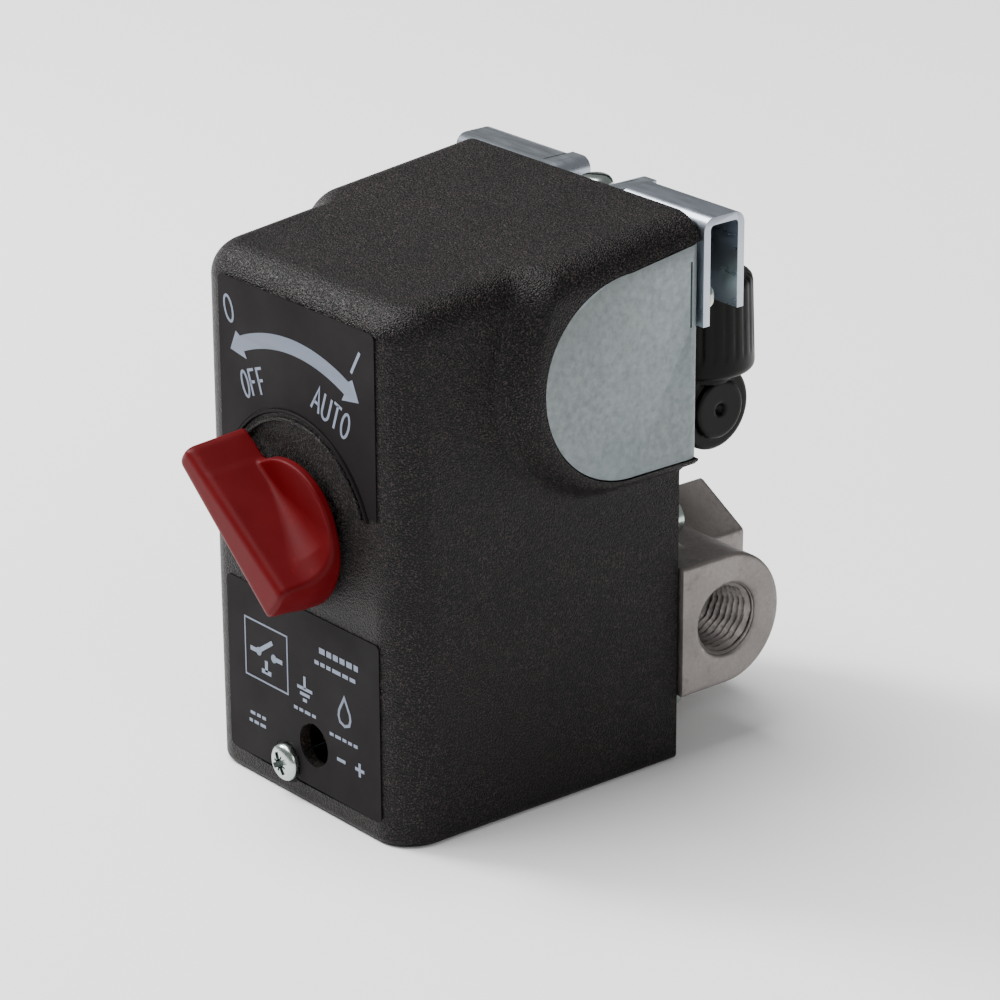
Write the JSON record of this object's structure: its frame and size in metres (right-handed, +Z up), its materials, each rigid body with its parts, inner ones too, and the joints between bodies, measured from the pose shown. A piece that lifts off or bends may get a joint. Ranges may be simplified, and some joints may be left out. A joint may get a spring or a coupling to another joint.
{
  "type": "pressure switch",
  "caption": "Compressor pressure switch: black cover with a red OFF/AUTO knob, cable clamps, unloader valve and a die-cast threaded port flange.",
  "frame": {"origin": "centre of the whole switch's bounding box, on the cover's flat end face that it stands on", "axes": "+Z up the cover towards the cable clamps, +Y from the knob face towards the flange and out of its rear port, +X towards the unloader side"},
  "size_m": [0.0684, 0.108, 0.1048],
  "materials": {
    "cover_plastic": "coarse pebbled texture",
    "label_film": "smooth satin film",
    "label_print": "pale blue-grey print",
    "knob_plastic": "satin red",
    "frame_zinc": "zinc plated sheet",
    "clamp_zinc": "blue bright zinc",
    "screw_zinc": "bright zinc",
    "cast_alloy": "die cast, satin",
    "brass": "satin",
    "valve_plastic": "satin black",
    "block_plastic": "dark moulding compound",
    "carrier_plastic": "natural nylon",
    "spring_steel": "drawn wire",
    "copper": "copper",
    "seal_rubber": "matte"
  },
  "bodies": {
    "housing": {"cover": "cover_plastic", "dial_label": "label_film", "cover_screw": "screw_zinc", "cover_post": "screw_zinc", "base_frame": "frame_zinc", "mechanism_bracket": "frame_zinc", "lever_pin": "screw_zinc", "flange_casting": "cast_alloy", "flange_screws": "screw_zinc", "diaphragm": "seal_rubber", "contact_block": "block_plastic", "fixed_contacts": "brass", "terminal_screws": "screw_zinc", "terminal_clamps": "screw_zinc", "guide_pins": "screw_zinc", "return_springs": "spring_steel", "main_spring": "spring_steel", "unloader_body": "valve_plastic", "unloader_screws": "screw_zinc", "unloader_spring": "spring_steel", "cable_clamp_left": "clamp_zinc", "cable_clamp_right": "clamp_zinc", "clamp_screw": "screw_zinc", "clamp_nut": "brass", "ground_screw": "screw_zinc", "ground_washer": "brass"},
    "knob_group": {"knob": "knob_plastic", "knob_shaft": "block_plastic", "knob_cam": "carrier_plastic", "shaft_clip": "spring_steel"},
    "carrier_group": {"contact_carrier": "carrier_plastic", "contact_bridges": "copper", "contact_springs": "spring_steel"},
    "plunger_group": {"unloader_plunger": "brass", "plunger_seal": "seal_rubber"},
    "lever_group": {"main_lever": "frame_zinc"},
    "piston_group": {"piston": "brass"},
    "adjuster_group": {"adjusting_screw": "brass"},
    "spring_plate_group": {"spring_plate": "frame_zinc"},
    "elbow_group": {"unloader_elbow": "valve_plastic", "tube_nut": "valve_plastic", "tube_ferrule": "brass"}
  },
  "joints": [
    {"name": "knob_turn", "type": "hinge", "parent": "housing", "child": "knob_group", "pos_m": [0, -0.041, 0.0525], "axis": [0, 1, 0], "range_deg": [0, 90]},
    {"name": "carrier_slide", "type": "slide", "parent": "housing", "child": "carrier_group", "axis": [0, -1, 0], "range_m": [0, 0.0017], "deforming": ["return_springs"]},
    {"name": "plunger_slide", "type": "slide", "parent": "housing", "child": "plunger_group", "axis": [0, -1, 0], "range_m": [0, 0.0017], "deforming": ["unloader_spring"]},
    {"name": "lever_tilt", "type": "hinge", "parent": "housing", "child": "lever_group", "pos_m": [0, 0.009, 0.048], "axis": [-1, 0, 0], "range_deg": [0, 3]},
    {"name": "piston_slide", "type": "slide", "parent": "housing", "child": "piston_group", "axis": [0, -1, 0], "range_m": [0, 0.0012]},
    {"name": "adjuster_turn", "type": "hinge", "parent": "housing", "child": "adjuster_group", "pos_m": [0.0034, 0, 0.0125], "axis": [0, 1, 0], "range_deg": [0, 1800]},
    {"name": "spring_plate_slide", "type": "slide", "parent": "housing", "child": "spring_plate_group", "axis": [0, 1, 0], "range_m": [0, 0.004], "deforming": ["main_spring"]},
    {"name": "elbow_swivel", "type": "hinge", "parent": "housing", "child": "elbow_group", "pos_m": [0.009, 0.0415, 0.0603], "axis": [-1, 0, 0], "range_deg": [0, 90]}
  ],
  "couplings": [
    {"joint": "knob_turn", "follows": "carrier_slide", "rad_per_m": 923.99},
    {"joint": "plunger_slide", "follows": "carrier_slide", "ratio": 1},
    {"joint": "lever_tilt", "follows": "piston_slide", "rad_per_m": 43.63},
    {"joint": "adjuster_turn", "follows": "spring_plate_slide", "rad_per_m": 7853.9}
  ]
}
